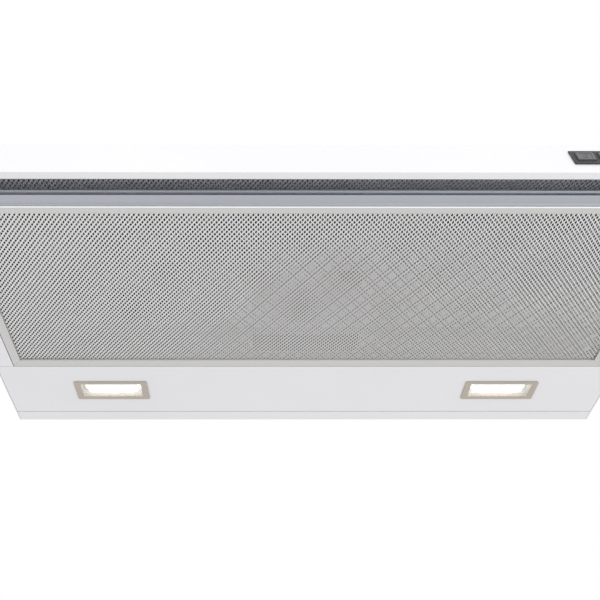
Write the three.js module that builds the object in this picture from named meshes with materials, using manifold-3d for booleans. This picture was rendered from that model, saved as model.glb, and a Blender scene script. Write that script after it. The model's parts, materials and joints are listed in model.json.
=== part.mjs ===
// Under-cabinet range hood with a pull-out visor, as an assembly of separate solids.
// Millimetres. X runs along the front, -Y is the front, Z is up. The origin lies on the back
// face, level with the lower edge of the cabinet: the tray hangs below it and the fan box
// stands above it.
import * as THREE from "three";
import { mergeVertices } from "three/addons/utils/BufferGeometryUtils.js";
import Module from "manifold-3d";

const wasm = await Module();
wasm.setup();

// ---------------------------------------------------------------- driving dimensions
const hoodWidth = 598;
const trayDepth = 286;
const trayHeight = 40;
const sheet = 1; // folded steel
const fit = 0.3; // gap between pieces that touch

const profileDepth = 11; // front cross profile
const profileHeight = 6.5;
const profileStep = 4.2; // height of the set-back lower front of the profile
const sideFlange = 17.5; // inward return under the filter's ends
const ledgeWidth = 14.5; // inward turn at the top of each side, under the cabinet's side panel
const rearStrip = 13.8; // return at the foot of the back panel
const seam = 0.7;
const lightPanelDepth = 72.3;

const filterGap = 0.8;
const filterThickness = 9;
const filterFrontLip = 6;
const filterRearLip = 8.6;
const filterSideLip = 8;
const filterLipThickness = 1.4;
const hookReach = 6; // tabs at the filter's rear edge
const hookWidth = 24;
const latchCorner = { width: 20, length: 30 };
const latchTravel = 6;
const latchTongue = { width: 10, reach: 6, thickness: 2 };

const visorRise = 18; // underside to the visor's lower face
const visorThickness = 7;
const visorLip = 10;
const turnClear = 5; // from the visor up to the top plate's front edge
const slotWidth = 12.8; // between the fascia and the front profile
const fasciaLip = 6;
const fasciaSheet = 1.2;
const fasciaTopGap = 2;
const runnerWidth = 14.5;
const runnerReach = 34; // how far a closed runner reaches over the light panel
const railWall = 1.5;
const railWidth = 9;
const railClear = 0.6;

const lampSpacing = 386.4;
const bezel = { width: 71.8, depth: 27.2, side: 6, front: 5.5, rear: 4.2, thickness: 1 };
const lampBody = { wall: 1.5, height: 11 };
const ledPitch = 10;
const ledCount = 5;

const buttonCount = 5;
const buttonPitch = 17;
const buttonCap = { width: 13, height: 9 };
const buttonTravel = 1.5;
const buttonInset = 68; // from the fascia's right end to the middle of the row
const buttonSideClear = 0.4;
const boardClear = 1.5; // from the switch board down to the fascia's upstand

const cabinetPlay = 1; // between the hood and each outer face of the cabinet
const cabinetWall = 16;
const bracketReach = 19;

const impellerRadius = 59;
const impellerHalf = 48;
const bladeInner = 46;
const scrollClear = 5;
const scrollGrowth = 22;
const scrollWall = 1.6;
const scrollHalf = 52;
const scrollStart = 108; // degrees from +Y, where the spiral begins
const scrollFoot = 3.5;
const scrollBack = 6;
const scrollFront = 18;
const throatRise = 26;
const inletRadius = 52;
const motorRadius = 36;
const shaftRadius = 4;

const collarRadius = 60;
const collarWall = 2.5;
const collarHeight = 40;
const collarFlange = 8;
const flapHeight = 12.5;
const flapThickness = 1.6;
const flapEdgeGap = 0.7;
const pinRadius = 2;

// ---------------------------------------------------------------- derived places
const xWall = hoodWidth / 2;
const xInside = xWall - sheet - fit;
const topHalf = xWall - ledgeWidth - fit;
const yFront = -trayDepth;
const zUnder = -trayHeight;
const yBack = -sheet - fit;
const panelRear = -rearStrip - seam;
const panelFront = panelRear - lightPanelDepth;
const filterRear = panelFront - filterGap;
const filterFront = yFront + profileDepth + filterGap;
const filterHalf = xWall - sideFlange - filterGap;
const filterTop = zUnder + filterThickness;

const visorBottom = zUnder + visorRise;
const visorTop = visorBottom + visorThickness;
const fasciaFront = yFront - slotWidth - fasciaLip;
const visorFront = fasciaFront + fasciaLip + 1.8;
const visorDepth = filterRear - filterFront - 2;
const visorRear = visorFront + visorDepth;
const visorHalf = filterHalf;
const runnerInner = visorHalf + fit;
const runnerRear = panelFront + runnerReach;

const bracketX = xWall + cabinetPlay - cabinetWall;
const boxHalf = bracketX - bracketReach;
const spiral = (degrees) =>
  impellerRadius + scrollClear + (scrollGrowth * (degrees - scrollStart)) / (360 - scrollStart);
const blowerY = -(sheet + scrollBack + scrollWall + spiral(360));
const blowerZ = spiral(270) + scrollWall + scrollFoot;
const boxFront = blowerY - spiral(180) - scrollWall - scrollFront;
const boxTop = blowerZ + spiral(scrollStart) + throatRise;
const collarY = -(collarRadius + collarFlange + 2);
const radians = THREE.MathUtils.degToRad;

// ---------------------------------------------------------------- solids and meshes
function solid(geometry) {
  const bare = geometry.index ? geometry.toNonIndexed() : geometry.clone();
  bare.deleteAttribute("normal");
  bare.deleteAttribute("uv");
  const merged = mergeVertices(bare, 1e-4);
  return new wasm.Manifold(
    new wasm.Mesh({
      numProp: 3,
      vertProperties: new Float32Array(merged.attributes.position.array),
      triVerts: new Uint32Array(merged.index.array),
    }),
  );
}

const join = (...solids) => solids.reduce((a, b) => a.add(b));
const cut = (base, ...tools) => tools.reduce((a, b) => a.subtract(b), base);

// A block between two corners, given as spans along X, Y and Z.
function block([x0, x1], [y0, y1], [z0, z1]) {
  const geometry = new THREE.BoxGeometry(x1 - x0, y1 - y0, z1 - z0);
  geometry.translate((x0 + x1) / 2, (y0 + y1) / 2, (z0 + z1) / 2);
  return solid(geometry);
}

const middle = (half, centre = 0) => [centre - half, centre + half];
const sideSpan = (side, near, far) => (side > 0 ? [near, far] : [-far, -near]);

// A round bar along "x", "y" or "z" from one end to the other.
function rod(axis, radius, [from, to], [a, b] = [0, 0], sides = 32) {
  const geometry = new THREE.CylinderGeometry(radius, radius, to - from, sides);
  const half = (from + to) / 2;
  if (axis === "x") geometry.rotateZ(Math.PI / 2).translate(half, a, b);
  if (axis === "y") geometry.translate(a, half, b);
  if (axis === "z") geometry.rotateX(Math.PI / 2).translate(a, b, half);
  return solid(geometry);
}

// An outline in the YZ plane, drawn out along X.
function prism(points, [x0, x1], hole) {
  const shape = new THREE.Shape(points.map(([y, z]) => new THREE.Vector2(y, z)));
  if (hole) shape.holes.push(hole);
  const geometry = new THREE.ExtrudeGeometry(shape, {
    depth: x1 - x0,
    bevelEnabled: false,
    curveSegments: 24,
  });
  const toYZX = new THREE.Matrix4().makeBasis(
    new THREE.Vector3(0, 1, 0),
    new THREE.Vector3(0, 0, 1),
    new THREE.Vector3(1, 0, 0),
  );
  geometry.applyMatrix4(toYZX).translate(x0, 0, 0);
  return solid(geometry);
}

// A turned piece about Z, from a closed list of [radius, height].
function turned(profile, sides = 48) {
  const closed = [...profile, profile[0]].map(([r, z]) => new THREE.Vector2(r, z));
  return solid(new THREE.LatheGeometry(closed, sides).rotateX(Math.PI / 2));
}

function add(parent, name, body, colour, roughness, metalness = 0) {
  const { vertProperties, triVerts } = body.getMesh();
  const geometry = new THREE.BufferGeometry();
  geometry.setAttribute("position", new THREE.BufferAttribute(vertProperties, 3));
  geometry.setIndex(new THREE.BufferAttribute(triVerts, 1));
  const flat = geometry.toNonIndexed();
  flat.computeVertexNormals();
  const mesh = new THREE.Mesh(
    flat,
    new THREE.MeshStandardMaterial({ color: colour, roughness, metalness }),
  );
  mesh.name = name;
  parent.add(mesh);
  return mesh;
}

function group(parent, x = 0, y = 0, z = 0) {
  const made = new THREE.Group();
  made.position.set(x, y, z);
  parent.add(made);
  return made;
}

// Colours
const whitePaint = 0xdfdfe1;
const zinc = 0xb9bcbf;
const profileGrey = 0xbebfc4;
const filterGrey = 0xc9c8c6;
const meshGrey = 0xb0b0b0;
const visorGrey = 0x7b7f88;
const taupe = 0xb8ac9e;
const darkPlastic = 0x2d2f31;
const lightPlastic = 0xcfd0d0;

const hood = new THREE.Group();
hood.name = "range_hood";

// ---------------------------------------------------------------- tray
function trayTopPlate() {
  const plate = block(middle(topHalf), [yFront, yBack], [-sheet, 0]);
  const turnFoot = visorTop + turnClear;
  const frontTurn = block(middle(topHalf), [yFront, yFront + sheet], [turnFoot, 0]);
  const turnEnds = block(middle(xInside), [yFront, yFront + sheet], [turnFoot, -sheet - fit]);
  const air = block(
    middle(boxHalf - 25),
    [boxFront + 10, panelFront + 26],
    [-2 * sheet, sheet],
  );
  return cut(join(plate, frontTurn, turnEnds), air);
}

// One folded side wall. The cabinet rests on its ledge. Its foot carries the end of the filter
// and is notched for the latch.
function traySide(side) {
  const wall = block(sideSpan(side, xWall - sheet, xWall), [yFront, yBack], [zUnder, 0]);
  const ledge = block(sideSpan(side, xWall - ledgeWidth, xWall), [yFront, yBack], [-sheet, 0]);
  const foot = block(
    sideSpan(side, xWall - sideFlange, xWall),
    [yFront + profileDepth + fit, panelFront - fit],
    [zUnder, zUnder + sheet],
  );
  const notch = block(
    sideSpan(side, xWall - sideFlange - 1, filterHalf + latchTongue.reach + 1.5),
    middle(latchTongue.width / 2 + 1.5, latchY),
    [zUnder - 1, zUnder + sheet + 1],
  );
  return cut(join(wall, ledge, foot), notch);
}

// The back panel is one T-shaped sheet, as wide as the tray below and as the fan box above.
function backPanel() {
  const low = block(middle(xWall), [-sheet, 0], [zUnder, 0]);
  const high = block(middle(boxHalf), [-sheet, 0], [-1, boxTop]);
  const foot = block(middle(xInside), [-rearStrip, 0], [zUnder, zUnder + sheet]);
  return join(low, high, foot);
}

// Extruded front profile: set-back lower front, proud upper rim, shallow groove underneath.
function crossProfile() {
  const z = (rise) => zUnder + rise;
  const y = (depth) => yFront + depth;
  const outline = [
    [y(1.2), z(0)],
    [y(6.2), z(0)],
    [y(6.2), z(0.6)],
    [y(9.2), z(0.6)],
    [y(9.2), z(0)],
    [y(profileDepth), z(0)],
    [y(profileDepth), z(profileHeight)],
    [y(0), z(profileHeight)],
    [y(0), z(profileStep)],
    [y(1.2), z(profileStep)],
  ];
  return prism(outline, middle(xInside));
}

function lightPanel() {
  const skin = block(middle(xInside), [panelFront, panelRear], [zUnder, zUnder + sheet]);
  const rear = block(middle(xInside), [panelRear - sheet, panelRear], [zUnder, zUnder + 7]);
  const ends = [-1, 1].map((side) =>
    block(
      sideSpan(side, xInside - sheet, xInside),
      [panelFront, panelRear],
      [zUnder, zUnder + 7],
    ),
  );
  const holes = [-1, 1].map((side) =>
    block(
      middle(bezel.width / 2 - 2.4, (side * lampSpacing) / 2),
      middle(bezel.depth / 2 - 2.4, lampY),
      [zUnder - 1, zUnder + sheet + 1],
    ),
  );
  return cut(join(skin, rear, ...ends), ...holes);
}

function rail(side) {
  const bottom = visorBottom - railClear - railWall;
  const top = visorTop + railClear + railWall;
  const y = [yFront + 2, runnerRear + 18];
  const channel = block(sideSpan(side, xInside - railWidth, xInside), y, [bottom, top]);
  const inside = block(
    sideSpan(side, xInside - railWidth - 1, xInside - railWall),
    [y[0] - 1, y[1] + 1],
    [visorBottom - railClear, visorTop + railClear],
  );
  return cut(channel, inside);
}

const latchY = filterFront + latchCorner.length / 2;
const lampY = (panelFront + panelRear) / 2;

const tray = group(hood);
add(tray, "tray_top_plate", trayTopPlate(), zinc, 0.45, 0.7);
add(tray, "back_panel", backPanel(), whitePaint, 0.4);
add(tray, "front_cross_profile", crossProfile(), profileGrey, 0.35, 0.8);
add(tray, "light_panel", lightPanel(), whitePaint, 0.35);
for (const [name, side] of [["left", -1], ["right", 1]]) {
  add(tray, "tray_side_" + name, traySide(side), whitePaint, 0.4);
  add(tray, "visor_rail_" + name, rail(side), zinc, 0.4, 0.7);
}

// ---------------------------------------------------------------- lamps
function lampBezel() {
  const { width, depth, side, front, rear, thickness } = bezel;
  const flange = block(middle(width / 2), middle(depth / 2), [-thickness - fit, -fit]);
  const neck = block(
    middle(width / 2 - 2.4 - fit),
    middle(depth / 2 - 2.4 - fit),
    [-fit - thickness / 2, sheet + 2],
  );
  const window = block(
    middle(width / 2 - side),
    [front - depth / 2, depth / 2 - rear],
    [-5, 5],
  );
  return cut(join(flange, neck), window);
}

function lampLens() {
  const { width, depth, side, front, rear } = bezel;
  return block(
    middle(width / 2 - side - fit),
    [front - depth / 2 + fit, depth / 2 - rear - fit],
    [-0.9, 1.4],
  );
}

function ledBoard() {
  const board = block(middle(29), middle(8), [8, 9.6]);
  const leds = Array.from({ length: ledCount }, (_, i) =>
    block(
      middle(1.75, (i - (ledCount - 1) / 2) * ledPitch),
      middle(1.4),
      [7.2, 8.4],
    ),
  );
  return join(board, ...leds);
}

// An open-bottomed box over the lens.
function lampHousing() {
  const { wall, height } = lampBody;
  const half = [bezel.width / 2 - 1, bezel.depth / 2];
  const outer = block(middle(half[0]), middle(half[1]), [sheet + fit, sheet + fit + height]);
  const hollow = block(
    middle(half[0] - wall),
    middle(half[1] - wall),
    [0, sheet + fit + height - wall],
  );
  return cut(outer, hollow);
}

for (const [name, side] of [["left", -1], ["right", 1]]) {
  const lamp = group(hood, (side * lampSpacing) / 2, lampY, zUnder);
  add(lamp, "lamp_bezel_" + name, lampBezel(), taupe, 0.35, 0.3);
  add(lamp, "lamp_lens_" + name, lampLens(), 0xf2f2ee, 0.15);
  add(lamp, "led_board_" + name, ledBoard(), 0xf4f4f0, 0.5);
  add(lamp, "lamp_housing_" + name, lampHousing(), lightPlastic, 0.5);
}

// ---------------------------------------------------------------- main grease filter
// A flat ring with a groove that grips two layers of mesh.
function meshFrame(half, [y0, y1], [z0, z1], lip, lipThickness) {
  const outer = block(middle(half), [y0, y1], [z0, z1]);
  const inner = [middle(half - lip.side), [y0 + lip.front, y1 - lip.rear]];
  const groove = block(
    middle(half - lipThickness),
    [y0 + lipThickness, y1 - lipThickness],
    [z0 + lipThickness, z1 - lipThickness],
  );
  return cut(outer, block(...inner, [z0 - 1, z1 + 1]), groove);
}

function meshLayer(half, [y0, y1], [z0, z1], lipThickness) {
  const edge = lipThickness + fit;
  return block(middle(half - edge), [y0 + edge, y1 - edge], [z0, z1]);
}

function filterFrame() {
  const lip = { side: filterSideLip, front: filterFrontLip, rear: filterRearLip };
  const ring = meshFrame(
    filterHalf,
    [filterFront, filterRear],
    [zUnder, filterTop],
    lip,
    filterLipThickness,
  );
  const corners = [-1, 1].flatMap((side) => [
    block(
      sideSpan(side, filterHalf - latchCorner.width, filterHalf - 1),
      [filterFront + 1, filterFront + latchCorner.length],
      [zUnder, zUnder + filterLipThickness],
    ),
  ]);
  const slots = [-1, 1].map((side) =>
    block(
      sideSpan(side, filterHalf - latchCorner.width + 2.5, filterHalf + 1),
      middle(latchTongue.width / 2 + fit, latchY),
      [zUnder - 1, zUnder + latchLevel + latchTongue.thickness + fit],
    ),
  );
  const hooks = [-0.6, 0, 0.6].map((share) =>
    block(
      middle(hookWidth / 2, share * filterHalf),
      [filterRear - 1, filterRear + hookReach],
      [zUnder + 3, zUnder + 4.2],
    ),
  );
  return join(cut(join(ring, ...corners), ...slots), ...hooks);
}

// Sliding catch in the corner of the filter: a thumb grip below and a tongue to the side.
const latchLevel = 0.4;
function filterLatch(side) {
  const inner = filterHalf - latchCorner.width + 2.5 + latchTravel + fit;
  const tongue = block(
    sideSpan(side, inner, filterHalf + latchTongue.reach),
    middle(latchTongue.width / 2, latchY),
    [zUnder + latchLevel, zUnder + latchLevel + latchTongue.thickness],
  );
  const grip = block(
    sideSpan(side, inner, inner + 4),
    middle(latchTongue.width / 2, latchY),
    [zUnder - 2.2, zUnder + latchLevel + 1],
  );
  return join(tongue, grip);
}

// The layers of mesh, as rises above the frame's lower face.
const faceLayer = [filterLipThickness + fit, filterLipThickness + fit + 0.6];
const coreTop = filterThickness - filterLipThickness - fit;
const coreLayer = [coreTop - 1.2, coreTop];
const above = (level, [low, high]) => [level + low, level + high];
const latchPocket = (layer) =>
  cut(
    layer,
    ...[-1, 1].map((side) =>
      block(
        sideSpan(side, filterHalf - latchCorner.width - fit, filterHalf + 1),
        [filterFront - 1, filterFront + latchCorner.length + fit],
        [zUnder - 1, filterTop + 1],
      ),
    ),
  );
const mainFilter = group(hood);
const filterSpan = [filterFront, filterRear];
add(mainFilter, "filter_frame", filterFrame(), filterGrey, 0.45, 0.6);
add(
  mainFilter,
  "filter_face_mesh",
  latchPocket(meshLayer(filterHalf, filterSpan, above(zUnder, faceLayer), filterLipThickness)),
  meshGrey,
  0.5,
  0.6,
);
add(
  mainFilter,
  "filter_core_mesh",
  latchPocket(meshLayer(filterHalf, filterSpan, above(zUnder, coreLayer), filterLipThickness)),
  meshGrey,
  0.5,
  0.6,
);
add(mainFilter, "filter_latch_left", filterLatch(-1), darkPlastic, 0.5);
add(mainFilter, "filter_latch_right", filterLatch(1), darkPlastic, 0.5);

// ---------------------------------------------------------------- pull-out visor
const buttonZ = (zUnder - fasciaTopGap) / 2;
const buttonRowX = xWall - buttonInset;
const bezelHalf = (buttonCount * buttonPitch) / 2 + 1.5;
const bezelNeck = { half: bezelHalf - 2, height: buttonCap.height / 2 + 2 };
const boardHalfHeight = bezelNeck.height + 2;

// Folded front: a tall face, a flat lip underneath, an inner upstand and a roof flange.
function fascia() {
  const skin = (y, z) => block(middle(xWall), y, z);
  const top = -fasciaTopGap;
  const face = skin([fasciaFront, fasciaFront + fasciaSheet], [zUnder, top]);
  const lip = skin([fasciaFront, fasciaFront + fasciaLip], [zUnder, zUnder + fasciaSheet]);
  const upstand = skin(
    [fasciaFront + fasciaLip - fasciaSheet, fasciaFront + fasciaLip],
    [zUnder, buttonZ - boardHalfHeight - boardClear],
  );
  const roof = skin([fasciaFront, yFront - 1], [top - fasciaSheet, top]);
  const ends = [-1, 1].map((side) =>
    block(
      sideSpan(side, xWall - fasciaSheet, xWall),
      [fasciaFront, fasciaFront + fasciaLip],
      [zUnder, top],
    ),
  );
  const window = block(
    middle(bezelNeck.half + fit, buttonRowX),
    middle(3, fasciaFront),
    middle(bezelNeck.height + fit, buttonZ),
  );
  return cut(join(face, lip, upstand, roof, ...ends), window);
}

function buttonBezel() {
  const flange = block(middle(bezelHalf), [-1.2, -fit], middle(boardHalfHeight));
  const neck = block(
    middle(bezelNeck.half),
    [-1.2, fasciaSheet + 0.7],
    middle(bezelNeck.height),
  );
  const holes = Array.from({ length: buttonCount }, (_, i) =>
    block(
      middle(buttonCap.width / 2 + buttonSideClear, buttonX(i)),
      [-5, 5],
      middle(buttonCap.height / 2 + buttonSideClear),
    ),
  );
  return cut(join(flange, neck), ...holes);
}

// A cap in front and a wider foot behind that keeps it in its hole.
function button() {
  const cap = block(middle(buttonCap.width / 2), [-2.4, 2.8], middle(buttonCap.height / 2));
  const foot = block(
    middle(buttonCap.width / 2 + 0.9),
    [fasciaSheet + 1.1, fasciaSheet + 1.9],
    middle(buttonCap.height / 2 + 0.9),
  );
  return join(cap, foot);
}

const buttonX = (i) => (i - (buttonCount - 1) / 2) * buttonPitch;

function switchBoard() {
  const front = fasciaSheet + 1.9 + buttonTravel + fit;
  return block(middle(bezelHalf), [front, front + 1.2], middle(boardHalfHeight));
}

function runner(side) {
  return block(
    sideSpan(side, runnerInner, runnerInner + runnerWidth),
    [fasciaFront + fasciaSheet + fit, runnerRear],
    [visorBottom, visorTop],
  );
}

const visor = group(hood);
const visorSpan = [visorFront, visorRear];
const visorLips = { side: visorLip, front: visorLip, rear: visorLip };
add(
  visor,
  "visor_frame",
  meshFrame(visorHalf, visorSpan, [visorBottom, visorTop], visorLips, 1),
  profileGrey,
  0.4,
  0.7,
);
add(
  visor,
  "visor_mesh",
  meshLayer(visorHalf, visorSpan, above(visorBottom, [1 + fit, 2 + fit]), 1),
  visorGrey,
  0.5,
  0.7,
);
add(visor, "visor_fascia", fascia(), whitePaint, 0.35);
add(visor, "visor_runner_left", runner(-1), zinc, 0.35, 0.7);
add(visor, "visor_runner_right", runner(1), zinc, 0.35, 0.7);

const controls = group(visor, buttonRowX, fasciaFront, buttonZ);
add(controls, "button_bezel", buttonBezel(), darkPlastic, 0.4);
add(controls, "switch_board", switchBoard(), 0x2f5a3a, 0.6);
for (let i = 0; i < buttonCount; i++) {
  const mesh = add(controls, "button_" + (i + 1), button(), lightPlastic, 0.35);
  mesh.position.x = buttonX(i);
}

// ---------------------------------------------------------------- fan box
const boxSpanY = [boxFront + sheet + fit, yBack];
const boxSpanZ = [fit, boxTop - sheet - fit];
const glandPlace = [-boxHalf + 60, -60];
const flangeScrew = collarRadius + collarFlange / 2;

function boxTopPlate() {
  const plate = block(middle(boxHalf), [boxFront, yBack], [boxTop - sheet, boxTop]);
  const level = [boxTop - 5, boxTop + 5];
  const duct = rod("z", collarRadius - collarWall - 3, level, [0, collarY], 48);
  const gland = rod("z", 8.3, level, glandPlace, 24);
  const screws = screwAngles.map((angle) =>
    rod("z", 2, level, [
      flangeScrew * Math.cos(angle),
      collarY + flangeScrew * Math.sin(angle),
    ], 12),
  );
  return cut(plate, duct, gland, ...screws);
}

const screwAngles = [0, 180].map(radians);

const fanBox = group(hood);
add(
  fanBox,
  "box_front",
  block(middle(boxHalf), [boxFront, boxFront + sheet], boxSpanZ),
  zinc,
  0.45,
  0.7,
);
for (const [name, side] of [["left", -1], ["right", 1]])
  add(
    fanBox,
    "box_" + name,
    block(sideSpan(side, boxHalf - sheet, boxHalf), boxSpanY, boxSpanZ),
    zinc,
    0.45,
    0.7,
  );
add(fanBox, "box_top", boxTopPlate(), zinc, 0.45, 0.7);

// Angle brackets that screw to the inner faces of the cabinet.
const bracketScrewX = (boxHalf + bracketX) / 2;
function sideBracket(side) {
  const upright = block(sideSpan(side, bracketX - 2, bracketX), middle(25), [fit, 60]);
  const foot = block(sideSpan(side, boxHalf + fit, bracketX), middle(25), [fit, 2 + fit]);
  const hole = rod("z", 2, [-1, 5], [side * bracketScrewX, 0], 12);
  const slot = block(sideSpan(side, bracketX - 5, bracketX + 5), middle(9), [41, 46]);
  return cut(join(upright, foot), slot, hole);
}

// A pan-head screw that points down, its head's lower face at height 0.
function screw(length) {
  return turned([
    [0, -length],
    [1.6, -length],
    [1.6, 0],
    [3.6, 0],
    [3.6, 1.2],
    [2.4, 2.3],
    [0, 2.3],
  ], 16);
}

const brackets = group(hood, 0, (boxFront + yBack) / 2, 0);
for (const [name, side] of [["left", -1], ["right", 1]]) {
  add(brackets, "side_bracket_" + name, sideBracket(side), zinc, 0.4, 0.8);
  const mesh = add(brackets, "bracket_screw_" + name, screw(2), 0xa8a8a8, 0.3, 0.9);
  mesh.position.set(side * bracketScrewX, 0, 2 + 2 * fit);
}

// ---------------------------------------------------------------- duct collar and dampers
const collar = group(hood, 0, collarY, boxTop + fit);

function ductCollar() {
  const inner = collarRadius - collarWall;
  const seat = flapHeight - flapThickness / 2 - fit;
  const body = turned([
    [inner - 4, seat - 2.5],
    [inner, seat - 5],
    [inner, 0],
    [collarRadius + collarFlange, 0],
    [collarRadius + collarFlange, 2.5],
    [collarRadius, 2.5],
    [collarRadius, collarHeight - 1],
    [collarRadius - 1, collarHeight],
    [inner, collarHeight],
    [inner, seat],
    [inner - 4, seat],
  ]);
  const screws = screwAngles.map((angle) =>
    rod("z", 2, [-1, 5], [flangeScrew * Math.cos(angle), flangeScrew * Math.sin(angle)], 12),
  );
  const pinSeat = rod("x", pinRadius + fit, middle(inner + 1), [0, flapHeight], 16);
  return cut(body, pinSeat, ...screws);
}

// A half disc with two sleeves round the pin. It rests flat on the collar's seat.
function damperFlap(side, sleevesX) {
  const radius = collarRadius - collarWall - flapEdgeGap;
  const level = middle(flapThickness / 2);
  const hinge = pinRadius + fit + 1.1;
  const disc = rod("z", radius, level, [0, 0], 48);
  const away = block(
    middle(radius + 1),
    side > 0 ? [-radius - 1, hinge + 0.2] : [-hinge - 0.2, radius + 1],
    [-5, 5],
  );
  const sleeves = sleevesX.flatMap((x) => [
    rod("x", hinge, middle(7, x), [0, 0], 16),
    block(middle(7, x), sideSpan(side, 0, hinge + 1), level),
  ]);
  const bores = sleevesX.map((x) => rod("x", pinRadius + fit, middle(8, x), [0, 0], 16));
  return cut(join(cut(disc, away), ...sleeves), ...bores);
}

add(collar, "duct_collar", ductCollar(), darkPlastic, 0.5);
const damper = group(collar, 0, 0, flapHeight);
const pinHalf = collarRadius - collarWall - fit;
add(damper, "damper_pin", rod("x", pinRadius, middle(pinHalf), [0, 0], 16), 0xb0b0b0, 0.3, 0.9);
add(damper, "damper_flap_front", damperFlap(-1, [-38, 38]), lightPlastic, 0.5);
add(damper, "damper_flap_rear", damperFlap(1, [-14, 14]), lightPlastic, 0.5);
screwAngles.forEach((angle, i) => {
  const mesh = add(collar, "collar_screw_" + (i + 1), screw(6), 0xa8a8a8, 0.3, 0.9);
  mesh.position.set(flangeScrew * Math.cos(angle), flangeScrew * Math.sin(angle), 2.5 + fit);
});

// ---------------------------------------------------------------- blower
const mouthTop = boxTop - sheet - fit - blowerZ;
const polar = (degrees, radius) => [
  radius * Math.cos(radians(degrees)),
  radius * Math.sin(radians(degrees)),
];

// Points of the spiral wall, from the tongue round to the rear, grown by some thickness.
function spiralPoints(extra, from = scrollStart) {
  const steps = 26;
  return Array.from({ length: steps + 1 }, (_, i) => {
    const degrees = from + ((360 - from) * i) / steps;
    return polar(degrees, spiral(degrees) + extra);
  });
}

const tongueY = polar(scrollStart, spiral(scrollStart))[0];
const rearY = spiral(360);
function scrollOuter() {
  const y = tongueY - scrollWall;
  const radius = spiral(scrollStart) + scrollWall;
  const from = THREE.MathUtils.radToDeg(Math.acos(y / radius));
  return [[y, mouthTop], ...spiralPoints(scrollWall, from), [rearY + scrollWall, mouthTop]];
}

function scrollWrap() {
  const inner = [[tongueY, mouthTop], ...spiralPoints(0), [rearY, mouthTop]];
  return prism([...scrollOuter(), ...inner.reverse()], middle(scrollHalf));
}

function scrollSide(side) {
  const near = scrollHalf + fit;
  const hole = new THREE.Path().absarc(0, 0, inletRadius, 0, 2 * Math.PI, true);
  return prism(scrollOuter(), sideSpan(side, near, near + scrollWall), hole);
}

// A double-inlet drum: the ring of blades as one wall, a middle disc and a hub.
function impeller() {
  const ends = middle(impellerHalf);
  const drum = cut(
    rod("x", impellerRadius, ends, [0, 0], 48),
    rod("x", bladeInner, middle(impellerHalf + 1), [0, 0], 48),
  );
  const disc = rod("x", impellerRadius - 1, middle(1.25), [0, 0], 48);
  const hub = rod("x", 10, [-4, 20], [0, 0], 24);
  const bore = rod("x", shaftRadius + fit, [-5, 21], [0, 0], 20);
  return cut(join(drum, disc, hub), bore);
}

const motorSpan = [-scrollHalf - scrollWall + 0.5, -8];
function motorBody() {
  const can = rod("x", motorRadius, [motorSpan[0] + 3, motorSpan[1]], [0, 0], 40);
  const boss = rod("x", motorRadius - 8, motorSpan, [0, 0], 32);
  const bore = rod("x", shaftRadius + fit, [motorSpan[0] - 1, motorSpan[1] + 1], [0, 0], 20);
  return cut(join(can, boss), bore);
}

// A three-armed plate across the left inlet that holds the motor.
function motorBracket() {
  const near = scrollHalf + scrollWall + 2 * fit;
  const x = sideSpan(-1, near, near + 2);
  const arms = [90, 210, 330].map((degrees) => {
    const [a, b] = polar(degrees, inletRadius + 8);
    const [u, v] = polar(degrees + 90, 6);
    return prism([[u, v], [-u, -v], [a - u, b - v], [a + u, b + v]], x);
  });
  const plate = rod("x", motorRadius - 4, x, [0, 0], 32);
  const bore = rod("x", shaftRadius + 1, [x[0] - 1, x[1] + 1], [0, 0], 20);
  return cut(join(plate, ...arms), bore);
}

const blower = group(hood, 0, blowerY, blowerZ);
add(blower, "scroll_wrap", scrollWrap(), darkPlastic, 0.5);
add(blower, "scroll_side_left", scrollSide(-1), darkPlastic, 0.5);
add(blower, "scroll_side_right", scrollSide(1), darkPlastic, 0.5);
add(blower, "impeller", impeller(), 0x3a3c3f, 0.5);
add(blower, "motor_body", motorBody(), 0x8c8e90, 0.4, 0.6);
add(blower, "motor_bracket", motorBracket(), zinc, 0.4, 0.8);
const shaftSpan = [-scrollHalf - scrollWall - 8, 18];
add(blower, "motor_shaft", rod("x", shaftRadius, shaftSpan, [0, 0], 20), 0xa0a0a0, 0.25, 0.9);

// ---------------------------------------------------------------- electrics
// Boxes on the inner face of the back panel and a gland through the roof.
const electricsY = yBack;
const terminalSize = { width: 70, depth: 26, height: 48 };
const terminalX = glandPlace[0];
function terminalBox() {
  const { width, depth, height } = terminalSize;
  const outer = block(middle(width / 2), [-depth, 0], middle(height / 2));
  const inner = block(middle(width / 2 - 2), [-depth - 1, -2], middle(height / 2 - 2));
  return cut(outer, inner);
}
const terminal = group(hood, terminalX, electricsY, boxTop - 70);
add(terminal, "terminal_box", terminalBox(), lightPlastic, 0.5);
add(
  terminal,
  "terminal_lid",
  block(
    middle(terminalSize.width / 2),
    [-terminalSize.depth - fit - 2, -terminalSize.depth - fit],
    middle(terminalSize.height / 2),
  ),
  lightPlastic,
  0.5,
);

// A flanged bush with a round clamp nut, its neck through the roof of the box.
function cableGland() {
  return turned([
    [4.5, -9],
    [8, -9],
    [8, 0],
    [12, 0],
    [12, 4],
    [8.5, 6],
    [8.5, 14],
    [6.5, 17],
    [4.5, 17],
  ], 24);
}
const gland = group(hood, ...glandPlace, boxTop + fit);
add(gland, "cable_gland", cableGland(), darkPlastic, 0.5);

const driverSize = { width: 84, depth: 22, height: 34 };
const driver = group(hood, boxHalf - 75, electricsY, boxTop - 60);
add(
  driver,
  "led_driver",
  block(middle(driverSize.width / 2), [-driverSize.depth, 0], middle(driverSize.height / 2)),
  0xe6e6e2,
  0.5,
);

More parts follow.
